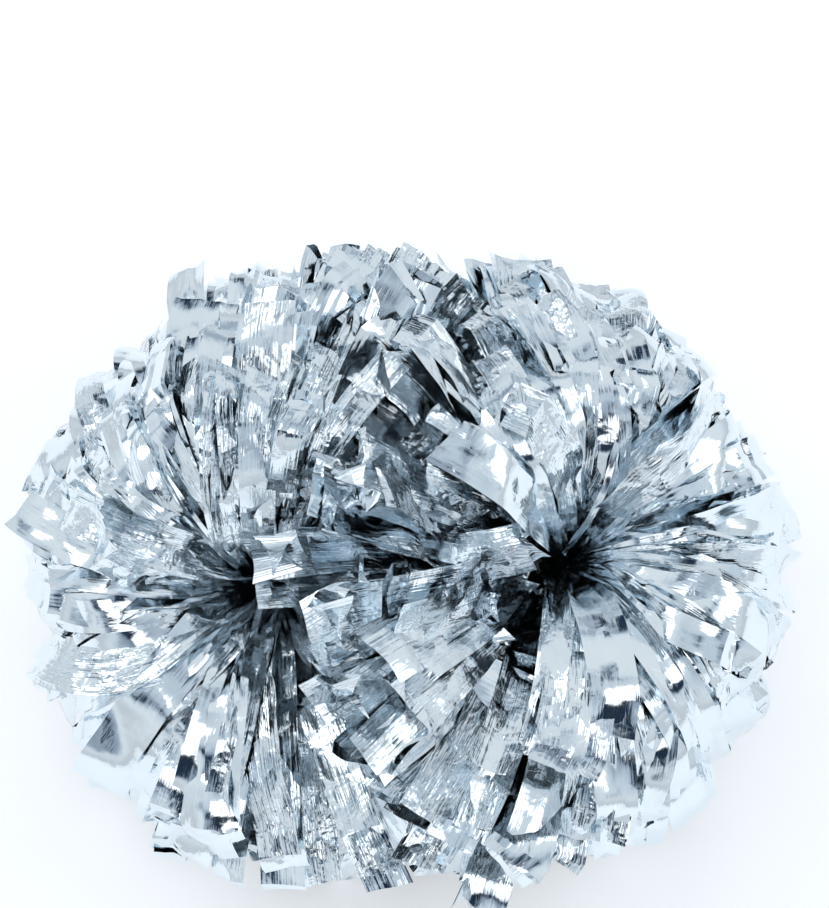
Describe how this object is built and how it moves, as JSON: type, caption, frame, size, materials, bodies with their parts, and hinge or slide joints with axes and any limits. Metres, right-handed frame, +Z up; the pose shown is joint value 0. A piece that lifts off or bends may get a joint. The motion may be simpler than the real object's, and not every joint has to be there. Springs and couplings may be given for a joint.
{
  "type": "cheer pom pom",
  "caption": "Hand-held cheer pom pom: two bundles of slit metallised film tied to the ends of a hollow baton handle.",
  "frame": {"origin": "on the surface the pom lies on, under the middle of the handle", "axes": "+X along the handle, +Z up; the handle's tape tails face down"},
  "size_m": [0.3016, 0.2692, 0.2],
  "materials": {
    "foil_film": "bright metallised film, part smooth and part crumpled",
    "foil_roll": "metallised film packed in a tight roll",
    "handle_plastic": "satin white, slightly translucent",
    "braided_cord": "braided cotton",
    "paper_tape": "creped beige paper tape",
    "tie_nylon": "natural nylon"
  },
  "bodies": {
    "core": {"core_cord": "braided_cord", "left_cord_knot": "braided_cord", "right_cord_knot": "braided_cord"},
    "grip": {"handle_tube": "handle_plastic"},
    "left_bundle": {"left_header_roll": "foil_roll", "left_waist_tape": "paper_tape", "left_cable_tie": "tie_nylon", "left_upper_fringe_1": "foil_film", "left_upper_fringe_2": "foil_film", "left_upper_fringe_3": "foil_film", "left_upper_fringe_4": "foil_film", "left_lower_fringe_1": "foil_film", "left_lower_fringe_2": "foil_film", "left_lower_fringe_3": "foil_film"},
    "left_outer_fan": {"left_upper_fringe_5": "foil_film"},
    "left_middle_fan": {"left_upper_fringe_6": "foil_film"},
    "left_inner_fan": {"left_upper_fringe_7": "foil_film"},
    "right_bundle": {"right_header_roll": "foil_roll", "right_waist_tape": "paper_tape", "right_cable_tie": "tie_nylon", "right_upper_fringe_1": "foil_film", "right_upper_fringe_2": "foil_film", "right_upper_fringe_3": "foil_film", "right_upper_fringe_4": "foil_film", "right_lower_fringe_1": "foil_film", "right_lower_fringe_2": "foil_film", "right_lower_fringe_3": "foil_film"},
    "right_outer_fan": {"right_upper_fringe_5": "foil_film"},
    "right_middle_fan": {"right_upper_fringe_6": "foil_film"},
    "right_inner_fan": {"right_upper_fringe_7": "foil_film"}
  },
  "joints": [
    {"name": "handle_spin", "type": "hinge", "parent": "core", "child": "grip", "pos_m": [0, 0, 0.084], "axis": [1, 0, 0], "continuous": true},
    {"name": "left_twist", "type": "hinge", "parent": "core", "child": "left_bundle", "pos_m": [-0.054, 0, 0.084], "axis": [1, 0, 0], "range_deg": [-40, 40], "stiffness_Nm_per_rad": 0.03},
    {"name": "left_part", "type": "hinge", "parent": "left_bundle", "child": "left_inner_fan", "pos_m": [-0.054, 0, 0.084], "axis": [0, -1, 0], "range_deg": [0, 33], "stiffness_Nm_per_rad": 0.02},
    {"name": "left_part_middle", "type": "hinge", "parent": "left_bundle", "child": "left_middle_fan", "pos_m": [-0.054, 0, 0.084], "axis": [0, -1, 0], "range_deg": [0, 22], "stiffness_Nm_per_rad": 0.02},
    {"name": "left_part_outer", "type": "hinge", "parent": "left_bundle", "child": "left_outer_fan", "pos_m": [-0.054, 0, 0.084], "axis": [0, -1, 0], "range_deg": [0, 11], "stiffness_Nm_per_rad": 0.02},
    {"name": "right_twist", "type": "hinge", "parent": "core", "child": "right_bundle", "pos_m": [0.054, 0, 0.084], "axis": [1, 0, 0], "range_deg": [-40, 40], "stiffness_Nm_per_rad": 0.03},
    {"name": "right_part", "type": "hinge", "parent": "right_bundle", "child": "right_inner_fan", "pos_m": [0.054, 0, 0.084], "axis": [0, 1, 0], "range_deg": [0, 33], "stiffness_Nm_per_rad": 0.02},
    {"name": "right_part_middle", "type": "hinge", "parent": "right_bundle", "child": "right_middle_fan", "pos_m": [0.054, 0, 0.084], "axis": [0, 1, 0], "range_deg": [0, 22], "stiffness_Nm_per_rad": 0.02},
    {"name": "right_part_outer", "type": "hinge", "parent": "right_bundle", "child": "right_outer_fan", "pos_m": [0.054, 0, 0.084], "axis": [0, 1, 0], "range_deg": [0, 11], "stiffness_Nm_per_rad": 0.02}
  ],
  "couplings": [
    {"joint": "left_part_middle", "follows": "left_part", "ratio": 0.66},
    {"joint": "left_part_outer", "follows": "left_part", "ratio": 0.33},
    {"joint": "right_part_middle", "follows": "right_part", "ratio": 0.66},
    {"joint": "right_part_outer", "follows": "right_part", "ratio": 0.33}
  ]
}
